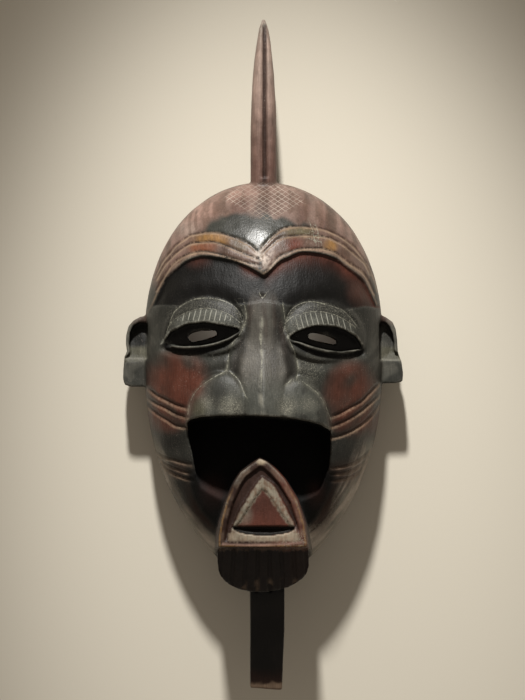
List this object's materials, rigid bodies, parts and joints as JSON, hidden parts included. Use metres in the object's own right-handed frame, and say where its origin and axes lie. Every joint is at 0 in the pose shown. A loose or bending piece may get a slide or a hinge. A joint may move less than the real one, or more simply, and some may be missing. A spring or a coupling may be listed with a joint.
{
  "type": "carved face mask",
  "caption": "Tall carved wooden face mask with a crest, ears, double-arched brow, wide nose over a deep niche, jutting three-cornered mouth, fluted beard and a straight grip.",
  "frame": {"origin": "centre of the mask's footprint, on the surface it lies on", "axes": "+Y toward the tip of the crest, +Z out of the face, +X to the right of someone who looks at the face"},
  "size_m": [0.2543, 0.5994, 0.1484],
  "materials": {
    "wood": "blackened and rubbed, with red and ochre paint"
  },
  "bodies": {
    "root": {"mask": "wood"}
  },
  "joints": []
}
